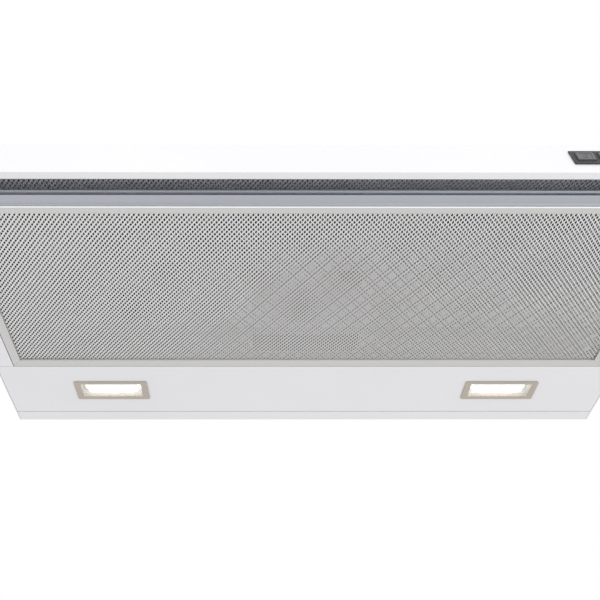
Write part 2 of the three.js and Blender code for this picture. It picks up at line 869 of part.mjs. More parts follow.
const capacitorRadius = 15;
const capacitor = group(hood, scrollHalf + 50, electricsY - 4 - capacitorRadius, boxTop - 100);
add(capacitor, "capacitor", rod("z", capacitorRadius, [0, 54], [0, 0], 28), 0xd8d8d4, 0.4);
function capacitorClip() {
  const band = cut(
    rod("z", capacitorRadius + fit + 1.5, [20, 34], [0, 0], 28),
    rod("z", capacitorRadius + fit, [19, 35], [0, 0], 28),
  );
  const foot = block(middle(10), [capacitorRadius + 1, capacitorRadius + 4], [20, 34]);
  return join(band, foot);
}
add(capacitor, "capacitor_clip", capacitorClip(), zinc, 0.4, 0.8);

export default hood;
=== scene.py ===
import json
import math
import bpy
from mathutils import Matrix, Vector


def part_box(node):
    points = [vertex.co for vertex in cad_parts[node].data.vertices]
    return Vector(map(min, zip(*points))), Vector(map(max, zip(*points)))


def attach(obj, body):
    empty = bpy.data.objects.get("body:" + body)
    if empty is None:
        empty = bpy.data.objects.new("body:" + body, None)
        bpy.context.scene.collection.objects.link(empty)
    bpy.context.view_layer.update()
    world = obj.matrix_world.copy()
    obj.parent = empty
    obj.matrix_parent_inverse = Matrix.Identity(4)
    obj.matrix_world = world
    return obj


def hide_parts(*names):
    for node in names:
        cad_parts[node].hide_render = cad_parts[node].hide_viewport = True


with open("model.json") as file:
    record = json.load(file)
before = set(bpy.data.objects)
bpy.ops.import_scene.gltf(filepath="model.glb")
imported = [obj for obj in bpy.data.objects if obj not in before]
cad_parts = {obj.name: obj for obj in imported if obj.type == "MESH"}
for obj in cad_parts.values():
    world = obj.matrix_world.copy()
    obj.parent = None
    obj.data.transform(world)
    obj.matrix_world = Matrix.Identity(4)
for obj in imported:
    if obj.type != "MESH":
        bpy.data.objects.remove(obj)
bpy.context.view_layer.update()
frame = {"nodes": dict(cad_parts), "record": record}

# ------------------------------------------------------------------ back panel
# One T-shaped steel sheet, stoved silver-white, 598 mm wide at the tray and 530 mm at the fan box.
# Its foot turns forward under the light panel. Long beads are pressed in to keep it from ringing,
# and it is spot-welded to the tray's sides and to the fan box.


class Wire:
    """A shader socket. Python's operators on it add Math nodes."""

    def __init__(self, tree, socket):
        self.tree = tree
        self.socket = socket

    def math(self, operation, first, second):
        node = self.tree.nodes.new("ShaderNodeMath")
        node.operation = operation
        for entry, value in zip(node.inputs, (first, second)):
            if isinstance(value, Wire):
                self.tree.links.new(value.socket, entry)
            else:
                entry.default_value = value
        return Wire(self.tree, node.outputs[0])

    def __add__(self, other):
        return self.math("ADD", self, other)

    def __radd__(self, other):
        return self.math("ADD", other, self)

    def __mul__(self, other):
        return self.math("MULTIPLY", self, other)

    def __rmul__(self, other):
        return self.math("MULTIPLY", other, self)


class Finish:
    """A procedural material: node() adds any node, and surface() closes it with the shader."""

    def __init__(self, name):
        self.material = bpy.data.materials.new(name)
        self.material.use_nodes = True
        self.tree = self.material.node_tree
        self.tree.nodes.clear()
        self.place = self.node("TexCoord", output="Object")

    def node(self, kind, inputs=None, output=0, stops=(), **settings):
        made = self.tree.nodes.new("ShaderNode" + kind)
        for setting, value in settings.items():
            setattr(made, setting, value)
        for index, (position, colour) in enumerate(stops):
            ramp = made.color_ramp.elements
            stop = ramp[index] if index < 2 else ramp.new(position)
            stop.position = position
            stop.color = colour
        for entry, value in (inputs or {}).items():
            if isinstance(value, Wire):
                self.tree.links.new(value.socket, made.inputs[entry])
            else:
                made.inputs[entry].default_value = value
        return Wire(self.tree, made.outputs[output]) if made.outputs else None

    def along(self, x, y, z):
        """The place with each axis stretched, for streaks."""
        return self.node("Mapping", {"Vector": self.place, "Scale": (x, y, z)})

    def noise(self, scale, detail=2.0, place=None):
        inputs = {"Vector": place or self.place, "Scale": scale, "Detail": detail}
        return self.node("TexNoise", inputs)

    def mix(self, share, first, second):
        return self.node("Mix", {0: share, 6: first, 7: second}, output=2, data_type="RGBA")

    def surface(self, values, relief=None, strength=0.3, depth=0.0002):
        shader = self.node("BsdfPrincipled", values)
        if relief is not None:
            bump = {"Height": relief, "Strength": strength, "Distance": depth}
            normal = self.node("Bump", bump)
            self.tree.links.new(normal.socket, shader.socket.node.inputs["Normal"])
        self.node("OutputMaterial", {"Surface": shader})
        return self.material


def stoved_white():
    """Stoved polyester powder: a fine orange peel over a silver-white ground."""
    paint = Finish("stoved_white")
    cloud = paint.noise(9.0)
    colour = paint.mix(cloud, (0.73, 0.73, 0.75, 1), (0.77, 0.77, 0.785, 1))
    peel = paint.noise(620.0, 3.0)
    values = {
        "Base Color": colour,
        "Roughness": 0.30 + 0.10 * peel,
        "Coat Weight": 0.12,
        "Coat Roughness": 0.2,
    }
    return paint.surface(values, peel, 0.12)


white = stoved_white()
nodes = frame["nodes"]
bodies = frame["record"]["behaviour"]["bodies"]
body_of_node = {node: body for body, members in bodies.items() for node in members}


def only(*pieces):
    """Selects these objects and nothing else, with the first one active."""
    bpy.ops.object.select_all(action="DESELECT")
    for piece in pieces:
        piece.select_set(True)
    bpy.context.view_layer.objects.active = pieces[0]
    return pieces[0]


def shape(piece, *steps):
    """Runs edit-mode steps on the whole mesh of one object."""
    only(piece)
    bpy.ops.object.mode_set(mode="EDIT")
    for step in steps:
        bpy.ops.mesh.select_all(action="SELECT")
        step()
    bpy.ops.object.mode_set(mode="OBJECT")
    return piece


def modify(piece, kind, **settings):
    """Adds a modifier and applies it."""
    only(piece)
    modifier = piece.modifiers.new(kind.lower(), kind)
    for setting, value in settings.items():
        setattr(modifier, setting, value)
    bpy.ops.object.modifier_apply(modifier=modifier.name)
    return piece


def soften(piece, width, segments=2, angle=35):
    """Rounds the sharp edges and smooths what is left, with the large faces kept flat."""
    modify(
        piece,
        "BEVEL",
        width=width,
        segments=segments,
        limit_method="ANGLE",
        angle_limit=math.radians(angle),
        harden_normals=True,
    )
    only(piece)
    bpy.ops.object.shade_smooth_by_angle(angle=math.radians(angle))
    return modify(piece, "WEIGHTED_NORMAL", keep_sharp=True, weight=100)


def cad_copy(node):
    """The shape of a CAD node, its loose triangles merged and its flat faces made whole."""
    piece = bpy.data.objects.new(node + "_finished", nodes[node].data.copy())
    bpy.context.scene.collection.objects.link(piece)
    return shape(
        piece,
        lambda: bpy.ops.mesh.customdata_custom_splitnormals_clear(),
        lambda: bpy.ops.mesh.remove_doubles(threshold=1e-5),
        lambda: bpy.ops.mesh.dissolve_limited(angle_limit=math.radians(1)),
    )


def merge(*pieces):
    """Joins objects into the first one."""
    only(*pieces)
    bpy.ops.object.join()
    return pieces[0]


def settle(piece, finish, *node_names):
    """Gives the piece its finish, and lets it stand for its CAD nodes, on their body."""
    piece.data.materials.clear()
    piece.data.materials.append(finish)
    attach(piece, body_of_node[node_names[0]])
    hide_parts(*node_names)
    return piece


def slab(name, low, high):
    """A block between two corners, to be cut and rounded."""
    low, high = Vector(low), Vector(high)
    bpy.ops.object.select_all(action="DESELECT")
    bpy.ops.mesh.primitive_cube_add(size=1, location=(low + high) / 2)
    piece = bpy.context.active_object
    piece.name = name
    piece.scale = high - low
    bpy.ops.object.transform_apply(location=True, rotation=True, scale=True)
    return piece


def copies(template, places, turn=None):
    """One object with a copy of the template's mesh at each place, the template removed."""
    made = []
    for place in places:
        twin = bpy.data.objects.new(template.name, template.data.copy())
        matrix = Matrix.Translation(Vector(place))
        twin.data.transform(matrix @ turn if turn else matrix)
        bpy.context.scene.collection.objects.link(twin)
        made.append(twin)
    bpy.data.objects.remove(template)
    return merge(*made)


def cut_away(piece, *tools):
    """Cuts the tools out of the piece and removes them."""
    for tool in tools:
        modify(piece, "BOOLEAN", object=tool, operation="DIFFERENCE", solver="EXACT")
        bpy.data.objects.remove(tool)
    return piece


def bead(length, width, rise):
    """A crowned bead along X, standing proud in Z, with its lower half sunk in the sheet."""
    half = width / 2
    made = slab("bead", (-length / 2, -half, -half), (length / 2, half, half))
    crown = half * 0.95  # just under the half width, so that the top is all one curve
    modify(made, "BEVEL", width=crown, segments=5, limit_method="ANGLE")
    made.data.transform(Matrix.Diagonal((1, 1, rise / half, 1)))
    only(made)
    bpy.ops.object.shade_smooth_by_angle(angle=math.radians(70))
    return made


def turned(name, outline, steps=48, axis="z", centre=(0, 0, 0)):
    """A piece turned from a closed outline of (radius, height) about an axis."""
    bpy.ops.object.select_all(action="DESELECT")
    bpy.ops.mesh.primitive_circle_add(vertices=len(outline), radius=1)
    piece = bpy.context.active_object
    piece.name = name
    to_axis = {"z": lambda r, h: (r, 0, h), "x": lambda r, h: (h, r, 0), "y": lambda r, h: (0, h, r)}
    for vertex, (radius, height) in zip(piece.data.vertices, outline):
        vertex.co = Vector(to_axis[axis](radius, height)) + Vector(centre)
    direction = {"z": (0, 0, 1), "x": (1, 0, 0), "y": (0, 1, 0)}[axis]
    return shape(
        piece,
        lambda: bpy.ops.mesh.spin(steps=steps, angle=math.tau, center=centre, axis=direction),
        lambda: bpy.ops.mesh.remove_doubles(threshold=1e-6),
        lambda: bpy.ops.mesh.normals_make_consistent(inside=False),
    )


TOWARDS = {
    "+x": Matrix.Rotation(math.pi / 2, 4, "Y"),
    "-x": Matrix.Rotation(-math.pi / 2, 4, "Y"),
    "+y": Matrix.Rotation(-math.pi / 2, 4, "X"),
    "-y": Matrix.Rotation(math.pi / 2, 4, "X"),
    "+z": Matrix.Identity(4),
    "-z": Matrix.Rotation(math.pi, 4, "X"),
}


def welds(places, towards):
    """Spot welds: shallow round dimples with a raised rim, on the face that looks one way."""
    rim = [(0, -0.0001), (0.0024, -0.0001), (0.0021, 0.0002), (0.0015, 0.0001), (0, 0.00004)]
    return copies(turned("weld", rim, 12), places, TOWARDS[towards])


FINE_EDGE = 0.0002  # the least rounding of an edge
SHEET = 0.001
BEAD_WIDTH = 0.012
BEAD_RISE = 0.0012
BEAD_LEVELS = (0.035, 0.075, 0.115, 0.15)  # heights of the beads above the tray
WELD_XS = [-0.28 + 0.07 * i for i in range(9)]
BACK_WELD_LEVEL = -0.006
back = cad_copy("back_panel")
back_beads = copies(
    bead(0.40, BEAD_WIDTH, BEAD_RISE), [(0, -SHEET, z) for z in BEAD_LEVELS], TOWARDS["-y"]
)
for z in BEAD_LEVELS:
    cut_away(back, copies(bead(0.398, 0.010, 0.0008), [(0, 0, z)], TOWARDS["+y"]))
soften(back, FINE_EDGE)
back_welds = welds([(x, 0, BACK_WELD_LEVEL) for x in WELD_XS], "+y")
back = merge(back, back_beads, back_welds)
settle(back, white, "back_panel")

# ------------------------------------------------------------------ tray
# Folded from 1 mm sheet: a galvanised top plate with the air opening, and two white sides, each
# with a ledge under the cabinet and a foot under the filter. All are spot-welded together, and a
# galvanised rail for the visor is welded inside each side.


def galvanised_sheet():
    """Hot-dip zinc: crystals of a few millimetres that differ in tone and gloss."""
    zinc = Finish("galvanised_sheet")
    crystals = zinc.node("TexVoronoi", {"Vector": zinc.place, "Scale": 120.0}, output="Color")
    tone = zinc.node("SeparateColor", {"Color": crystals})
    dust = zinc.noise(14.0, 4.0)
    colour = zinc.mix(0.6 * tone + 0.4 * dust, (0.46, 0.475, 0.49, 1), (0.68, 0.69, 0.70, 1))
    values = {"Base Color": colour, "Roughness": 0.34 + 0.18 * tone, "Metallic": 0.85}
    return zinc.surface(values, zinc.noise(300.0, 3.0), 0.15)


PLAIN_EDGE = 0.0003  # the usual rounding of a sheet's or a small piece's edge
WELD_INSET = 0.008  # from a sheet's edge to its row of welds
SIDE_WELD_LEVEL = -0.005
SIDE_WELDS = (0.02, 0.035)  # the first weld behind the front end, and the step to the next
RAIL_WELDS = (0.015, 0.045)
zinc_sheet = galvanised_sheet()
plate_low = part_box("tray_top_plate")[0]
plate_bead_y = (plate_low.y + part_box("box_front")[0].y) / 2
plate = soften(cad_copy("tray_top_plate"), PLAIN_EDGE)
plate_beads = copies(bead(0.50, 0.014, BEAD_RISE), [(0, plate_bead_y, 0)])
plate_welds = welds([(x, plate_low.y + WELD_INSET, 0) for x in WELD_XS], "+z")
settle(merge(plate, plate_beads, plate_welds), zinc_sheet, "tray_top_plate")
for side, sign, outward in (("left", -1, "-x"), ("right", 1, "+x")):
    node = "tray_side_" + side
    low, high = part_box(node)
    wall = soften(cad_copy(node), PLAIN_EDGE)
    outer_x = high.x if sign > 0 else low.x
    ys = [low.y + SIDE_WELDS[0] + SIDE_WELDS[1] * i for i in range(8)]
    settle(merge(wall, welds([(outer_x, y, SIDE_WELD_LEVEL) for y in ys], outward)), white, node)
    node = "visor_rail_" + side
    rail = soften(cad_copy(node), 0.00025)
    low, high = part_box(node)
    rail_x = (low.x + high.x) / 2
    ys = [low.y + RAIL_WELDS[0] + RAIL_WELDS[1] * i for i in range(6)]
    settle(merge(rail, welds([(rail_x, y, low.z) for y in ys], "-z")), zinc_sheet, node)

# ------------------------------------------------------------------ front cross profile
# An extruded aluminium bar across the mouth of the tray, satin anodised. Its lower front is set
# back under a proud rim, and a shallow groove runs along its underside.
ALUMINIUM_DARK = (0.40, 0.42, 0.46, 1)
ALUMINIUM_LIGHT = (0.52, 0.54, 0.58, 1)


def drawn_aluminium(name, dark, light, roughness=0.30, metallic=0.9):
    """Anodised or rolled aluminium with fine streaks along X."""
    metal = Finish(name)
    streak = metal.noise(1.0, 4.0, metal.along(5.0, 1400.0, 1400.0))
    patch = metal.noise(6.0)
    colour = metal.mix(0.7 * streak + 0.3 * patch, dark, light)
    values = {
        "Base Color": colour,
        "Roughness": roughness + 0.16 * streak,
        "Metallic": metallic,
    }
    return metal.surface(values, streak, 0.10, 0.0001)


satin_profile = drawn_aluminium("satin_profile", ALUMINIUM_DARK, ALUMINIUM_LIGHT)
profile = soften(cad_copy("front_cross_profile"), 0.00035, 3)
settle(profile, satin_profile, "front_cross_profile")

# ------------------------------------------------------------------ light panel
# A white stoved sheet behind the filter that carries the lamps, with turned-up edges. It is held
# by the sides' feet, and a narrow seam parts it from the foot of the back panel.
light_panel = soften(cad_copy("light_panel"), PLAIN_EDGE, 3)
settle(light_panel, white, "light_panel")

# ------------------------------------------------------------------ lamps
# Each lamp is a champagne bezel of moulded plastic with a clear snap-in lens, a white board with
# five small light sources behind it, and a housing that clips to the panel from above.
BEZEL_CORNER = 0.0016
FLANGE = 0.001
NECK_INSET = 0.0027  # from the flange's edge to the neck that clips into the panel
NECK_SINK = 0.0003  # how far the neck is sunk in the flange, so that they join
FRONT_RIM_TRIM = 0.0019  # the lens reaches this much further forward, which thins the front rim
LENS_GAP = 0.0003
WINDOW_CORNER = 0.0009
LENS_CORNER = 0.0007
LENS_NOTCH = 0.0016
TOOL_PAST = 0.001  # how far a cutting block stands past the piece that it cuts
BOARD_RELIEF = 0.0008  # the light sources stand below the board by this much
BOARD_CORNER = 0.001
CHIP_STEP = 0.010
CHIP_HALF = (0.00175, 0.0014)
CHIP_HEIGHT = 0.0010
DIFFUSER_HALF = 0.0245
DIFFUSER_INSETS = (0.0012, 0.0028)  # from the lens's front and rear edges
DIFFUSER_LEVELS = (0.0010, 0.0020)  # its lower and upper face above the lens
DIFFUSER_CORNER = 0.0015


def grained_plastic(name, dark, light, roughness=0.38, grain=900.0, metallic=0.0):
    """Moulded plastic with the fine grain of an etched mould."""
    plastic = Finish(name)
    speck = plastic.noise(grain, 3.0)
    cloud = plastic.noise(25.0)
    colour = plastic.mix(0.5 * speck + 0.5 * cloud, dark, light)
    values = {"Base Color": colour, "Roughness": roughness + 0.12 * speck, "Metallic": metallic}
    return plastic.surface(values, speck, 0.18, 0.0001)


def glowing(name, colour, strength, spread):
    """A lit white part, a little uneven in tone."""
    lit = Finish(name)
    patch = lit.noise(spread)
    dim = tuple(0.93 * channel for channel in colour[:3]) + (1,)
    tone = lit.mix(patch, dim, colour)
    values = {
        "Base Color": tone,
        "Roughness": 0.5,
        "Emission Color": tone,
        "Emission Strength": strength,
    }
    return lit.surface(values)


def clear_lens():
    """Clear polycarbonate: mostly see-through, with fine moulded ribs across it."""
    clear = Finish("clear_lens")
    rib = clear.node("TexWave", {"Vector": clear.place, "Scale": 120.0, "Distortion": 0.0})
    haze = clear.noise(90.0)
    values = {
        "Base Color": clear.mix(haze, (0.90, 0.90, 0.88, 1), (0.97, 0.97, 0.95, 1)),
        "Roughness": 0.12 + 0.08 * haze,
        "Alpha": 0.16 + 0.10 * haze,
    }
    return clear.surface(values, rib, 0.2, 0.0001)


champagne = grained_plastic(
    "champagne_bezel", (0.42, 0.365, 0.31, 1), (0.50, 0.44, 0.38, 1), 0.42, 1200.0, 0.15
)
lens_plastic = clear_lens()
board_glow = glowing("lit_board", (1.0, 0.99, 0.96, 1), 1.3, 60.0)
diffuser_glow = glowing("lit_diffuser", (1.0, 0.995, 0.97, 1), 0.85, 45.0)
chip_glow = glowing("lit_chip", (0.86, 0.85, 0.74, 1), 0.55, 300.0)
pale_plastic = grained_plastic("pale_plastic", (0.70, 0.70, 0.68, 1), (0.76, 0.76, 0.75, 1))


def round_upright_edges(piece, width, segments=4):
    """Rounds the edges that stand along Z."""
    only(piece)
    piece.data.update()
    corners = piece.data.vertices
    bpy.ops.object.mode_set(mode="EDIT")
    bpy.ops.mesh.select_mode(type="EDGE")
    bpy.ops.mesh.select_all(action="DESELECT")
    bpy.ops.object.mode_set(mode="OBJECT")
    for edge in piece.data.edges:
        run = corners[edge.vertices[0]].co - corners[edge.vertices[1]].co
        edge.select = abs(run.z) > 0.99 * run.length
    bpy.ops.object.mode_set(mode="EDIT")
    bpy.ops.mesh.bevel(offset=width, segments=segments)
    bpy.ops.mesh.select_mode(type="VERT")
    bpy.ops.object.mode_set(mode="OBJECT")
    return piece


for side in ("left", "right"):
    bezel_low, bezel_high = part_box("lamp_bezel_" + side)
    lens_low, lens_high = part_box("lamp_lens_" + side)
    lens_low.y -= FRONT_RIM_TRIM
    gap = Vector((LENS_GAP, LENS_GAP, 0))
    flange_top = bezel_low.z + FLANGE
    flange = slab("lamp_bezel_ring_" + side, bezel_low, (bezel_high.x, bezel_high.y, flange_top))
    neck = slab(
        "neck",
        (bezel_low.x + NECK_INSET, bezel_low.y + NECK_INSET, flange_top - NECK_SINK),
        (bezel_high.x - NECK_INSET, bezel_high.y - NECK_INSET, bezel_high.z),
    )
    round_upright_edges(flange, BEZEL_CORNER)
    round_upright_edges(neck, BEZEL_CORNER / 2)
    window_low = lens_low - gap
    window_high = lens_high + gap
    window = slab(
        "window",
        (window_low.x, window_low.y, bezel_low.z - 2 * TOOL_PAST),
        (window_high.x, window_high.y, bezel_high.z + 2 * TOOL_PAST),
    )
    round_upright_edges(window, WINDOW_CORNER)
    modify(flange, "BOOLEAN", object=neck, operation="UNION", solver="EXACT")
    bpy.data.objects.remove(neck)
    cut_away(flange, window)
    soften(flange, 0.00022, 2)
    settle(flange, champagne, "lamp_bezel_" + side)

    lens = slab("lamp_lens_plate_" + side, lens_low, lens_high)
    round_upright_edges(lens, LENS_CORNER)
    lens_middle = (lens_low + lens_high) / 2
    for x in (lens_low.x, lens_high.x):
        notch_low = (x - LENS_NOTCH, lens_middle.y - LENS_NOTCH, lens_low.z - TOOL_PAST)
        notch_high = (x + LENS_NOTCH, lens_middle.y + LENS_NOTCH, lens_high.z + TOOL_PAST)
        notch = slab("notch", notch_low, notch_high)
        round_upright_edges(notch, LENS_NOTCH * 0.8)
        cut_away(lens, notch)
    soften(lens, FINE_EDGE, 2)
    settle(lens, lens_plastic, "lamp_lens_" + side)

    board_low, board_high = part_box("led_board_" + side)
    board = slab(
        "led_board_plate_" + side,
        (board_low.x, board_low.y, board_low.z + BOARD_RELIEF),
        board_high,
    )
    round_upright_edges(board, BOARD_CORNER)
    soften(board, 0.00015)
    chip = slab("chip", (-CHIP_HALF[0], -CHIP_HALF[1], 0), (*CHIP_HALF, CHIP_HEIGHT))
    soften(chip, PLAIN_EDGE)
    middle = (board_low + board_high) / 2
    chip_places = [(middle.x + CHIP_STEP * (i - 2), middle.y, board_low.z) for i in range(5)]
    chips = copies(chip, chip_places)
    chips.data.materials.append(chip_glow)
    chips.name = "led_chips_" + side
    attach(chips, body_of_node["led_board_" + side])
    settle(board, board_glow, "led_board_" + side)

    # A frosted plate behind the lens, a little smaller than the window.
    frosted = slab(
        "lamp_diffuser_" + side,
        (
            middle.x - DIFFUSER_HALF,
            lens_low.y + DIFFUSER_INSETS[0],
            lens_high.z + DIFFUSER_LEVELS[0],
        ),
        (
            middle.x + DIFFUSER_HALF,
            lens_high.y - DIFFUSER_INSETS[1],
            lens_high.z + DIFFUSER_LEVELS[1],
        ),
    )
    round_upright_edges(frosted, DIFFUSER_CORNER)
    soften(frosted, FINE_EDGE)
    frosted.data.materials.append(diffuser_glow)
    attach(frosted, body_of_node["lamp_lens_" + side])

    housing = soften(cad_copy("lamp_housing_" + side), 0.0005)
    settle(housing, pale_plastic, "lamp_housing_" + side)

# ------------------------------------------------------------------ grease filter
# Two layers of expanded aluminium in a rolled aluminium frame with mitred rear corners. It hooks
# over the light panel and is held at the front corners by two sliding catches.
STRAND_PITCH = (0.0038, 0.00455)  # along X and along Y
CORE_PITCH = (0.0052, 0.0062)
STRAND_SHEET = 0.00045
MESH_CROWN = 0.0022
HOLE_LEAN = 0.05  # how far a hole's two ends lean sideways, against the pitch
SOFT_EDGE = 0.0004  # the rounding of a rolled or moulded edge
MITRE_SETBACK = 0.0017  # from the mesh's rear edge to the middle of a corner seam
SEAM_HALF = (0.016, 0.0001, 0.00025)  # half the length, width and depth of a corner seam
ROLL_INSET = 0.0005  # from the frame's end to the end of its rolled front edge
ROLL_PROUD = (0.0007, 0.0008)  # how far the rolled edge stands forward and below
ROLL_SINK = 0.0004
CATCH_POCKET = (0.0203, 0.0313)  # the room left over each catch, along X and along Y


def strand_metal(name, dark, light, roughness, metallic=0.85):
    """Slit and stretched foil: each strand catches the light a little differently."""
    metal = Finish(name)
    fleck = metal.noise(420.0, 2.0)
    sweep = metal.noise(7.0, 2.0)
    colour = metal.mix(0.65 * fleck + 0.35 * sweep, dark, light)
    values = {
        "Base Color": colour,
        "Roughness": roughness + 0.14 * fleck,
        "Metallic": metallic,
    }
    return metal.surface(values)


def expanded_field(name, low, high, level, pitch, share, lift, crown, pockets=(), halves=True):
    """Expanded metal between two corners: staggered diamond holes with tilted strands.

    share is a hole's size against its cell, lift the rise of one end of a hole over the other.
    Returns one piece, or a left and a right one."""
    step_x, step_y = pitch
    reach = math.hypot(step_x, step_y) / 2
    strand = step_x * step_y / 4 / reach * (1 - share)
    bpy.ops.object.select_all(action="DESELECT")
    bpy.ops.mesh.primitive_circle_add(vertices=4, radius=0.5, fill_type="NGON")
    field = bpy.context.active_object
    field.name = name
    shape(
        field,
        lambda: bpy.ops.transform.resize(value=(step_x, step_y, 1)),
        lambda: bpy.ops.mesh.inset(thickness=strand),
    )
    bpy.ops.object.mode_set(mode="EDIT")
    bpy.ops.mesh.select_mode(type="FACE")
    bpy.ops.object.mode_set(mode="OBJECT")
    for face in field.data.polygons:
        face.select = face.center.length < 1e-6
    bpy.ops.object.mode_set(mode="EDIT")
    bpy.ops.mesh.delete(type="FACE")
    bpy.ops.mesh.select_mode(type="VERT")
    bpy.ops.object.mode_set(mode="OBJECT")
    for vertex in field.data.vertices:
        if abs(vertex.co.x) < 1e-6 and abs(vertex.co.y) < 0.49 * step_y:
            vertex.co.z -= math.copysign(lift / 2, vertex.co.y)
            vertex.co.x -= math.copysign(HOLE_LEAN * step_x, vertex.co.y)
    twin = field.copy()
    twin.data = field.data.copy()
    twin.data.transform(Matrix.Translation((step_x / 2, step_y / 2, 0)))
    bpy.context.scene.collection.objects.link(twin)
    merge(field, twin)
    count_x = math.ceil((high.x - low.x) / step_x) + 2
    count_y = math.ceil((high.y - low.y) / step_y) + 2
    for axis, count, step in ((0, count_x, step_x), (1, count_y, step_y)):
        offset = [0, 0, 0]
        offset[axis] = step
        modify(
            field,
            "ARRAY",
            count=count,
            use_relative_offset=False,
            use_constant_offset=True,
            constant_offset_displace=offset,
        )
    field.data.transform(Matrix.Translation((low.x - step_x / 2, low.y - step_y / 2, level)))
    shape(field, lambda: bpy.ops.mesh.remove_doubles(threshold=step_x * 0.02))

    def trim(point, normal):
        return lambda: bpy.ops.mesh.bisect(plane_co=point, plane_no=normal, clear_outer=True)

    shape(
        field,
        trim(low, (-1, 0, 0)),
        trim(low, (0, -1, 0)),
        trim(high, (1, 0, 0)),
        trim(high, (0, 1, 0)),
    )
    centre, half = (low + high) / 2, (high - low) / 2
    for vertex in field.data.vertices:
        across = (vertex.co.x - centre.x) / half.x
        deep = (vertex.co.y - centre.y) / half.y
        vertex.co.z -= crown * (1 - across**4) * (1 - deep**2)
    for pocket_low, pocket_high in pockets:
        only(field)
        for face in field.data.polygons:
            at = face.center
            face.select = (
                pocket_low.x < at.x < pocket_high.x and pocket_low.y < at.y < pocket_high.y
            )
        bpy.ops.object.mode_set(mode="EDIT")
        bpy.ops.mesh.select_mode(type="FACE")
        bpy.ops.mesh.delete(type="FACE")
        bpy.ops.mesh.select_mode(type="VERT")
        bpy.ops.object.mode_set(mode="OBJECT")
    parts = [field]
    if halves:
        other = field.copy()
        other.data = field.data.copy()
        bpy.context.scene.collection.objects.link(other)
        field.name, other.name = name + "_left", name + "_right"
        shape(field, trim(centre, (1, 0, 0)))
        shape(other, trim(centre, (-1, 0, 0)))
        parts.append(other)
    for part in parts:
        modify(part, "SOLIDIFY", thickness=STRAND_SHEET, offset=0.0)
    return parts


rolled_aluminium = drawn_aluminium(
    "rolled_aluminium", (0.60, 0.595, 0.585, 1), (0.70, 0.695, 0.685, 1), 0.36
)
filter_frame = cad_copy("filter_frame")
frame_low, frame_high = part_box("filter_frame")
face_low, face_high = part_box("filter_face_mesh")
for sign in (-1, 1):
    corner = Vector((sign * frame_high.x, face_high.y + MITRE_SETBACK, frame_low.z))
    seam = slab("seam", [-half for half in SEAM_HALF], SEAM_HALF)
    seam.data.transform(Matrix.Translation(corner) @ Matrix.Rotation(sign * math.pi / 4, 4, "Z"))
    cut_away(filter_frame, seam)
soften(filter_frame, SOFT_EDGE, 3)
# The rolled front edge, which closes the seam against the cross profile. Its near-white colour is a
# painted highlight along the edge, not the aluminium's own tone.
front_roll = slab(
    "front_roll",
    (-frame_high.x + ROLL_INSET, frame_low.y - ROLL_PROUD[0], frame_low.z - ROLL_PROUD[1]),
    (frame_high.x - ROLL_INSET, frame_low.y + ROLL_SINK, frame_low.z + ROLL_SINK),
)
painted_highlight_edge = drawn_aluminium("painted_highlight_edge", (0.90, 0.90, 0.90, 1), (0.96, 0.96, 0.96, 1), 0.5, 0.1)
settle(soften(front_roll, SOFT_EDGE, 3), painted_highlight_edge, "filter_frame")
settle(filter_frame, rolled_aluminium, "filter_frame")

bright_strands = strand_metal("bright_strands", (0.73, 0.725, 0.725, 1), (0.87, 0.865, 0.865, 1), 0.36)
# Painted shade: the core layer is the same aluminium as the face, coloured near-black to stand for the
# shadow behind the face mesh.
painted_shade_strands = strand_metal("painted_shade_strands", (0.05, 0.05, 0.05, 1), (0.11, 0.11, 0.11, 1), 0.5)
pocket = Vector((*CATCH_POCKET, 0))
pockets = [
    (Vector((-1, -1, 0)), Vector((-frame_high.x + pocket.x, frame_low.y + pocket.y, 0))),
    (Vector((frame_high.x - pocket.x, -1, 0)), Vector((1, frame_low.y + pocket.y, 0))),
]
for part in expanded_field(
    "filter_face_strands",
    face_low,
    face_high,
    level=(face_low.z + face_high.z) / 2,
    pitch=STRAND_PITCH,
    share=0.56,
    lift=0.0009,
    crown=MESH_CROWN,
    pockets=pockets,
):
    settle(part, bright_strands, "filter_face_mesh")
core_low, core_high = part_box("filter_core_mesh")
for part in expanded_field(
    "filter_core_strands",
    core_low,
    core_high,
    level=(core_low.z + core_high.z) / 2,
    pitch=CORE_PITCH,
    share=0.80,
    lift=0.0012,
    crown=0.0,
    pockets=pockets,
    halves=False,
):
    settle(part, painted_shade_strands, "filter_core_mesh")

# The catches: dark plastic slides with a ribbed thumb grip below.
GRIP_INSET = 0.002
GRIP_STEP = 0.002
dark_plastic = grained_plastic("dark_plastic", (0.018, 0.019, 0.020, 1), (0.035, 0.036, 0.038, 1))
for side in ("left", "right"):
    node = "filter_latch_" + side
    low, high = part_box(node)
    catch = soften(cad_copy(node), SOFT_EDGE, 3)
    grip_x = low.x + GRIP_INSET if side == "right" else high.x - GRIP_INSET
    ribs = copies(
        bead(0.0034, 0.0009, 0.0004),
        [(grip_x, low.y + GRIP_INSET + GRIP_STEP * i, low.z) for i in range(4)],
    )
    settle(merge(catch, ribs), dark_plastic, node)

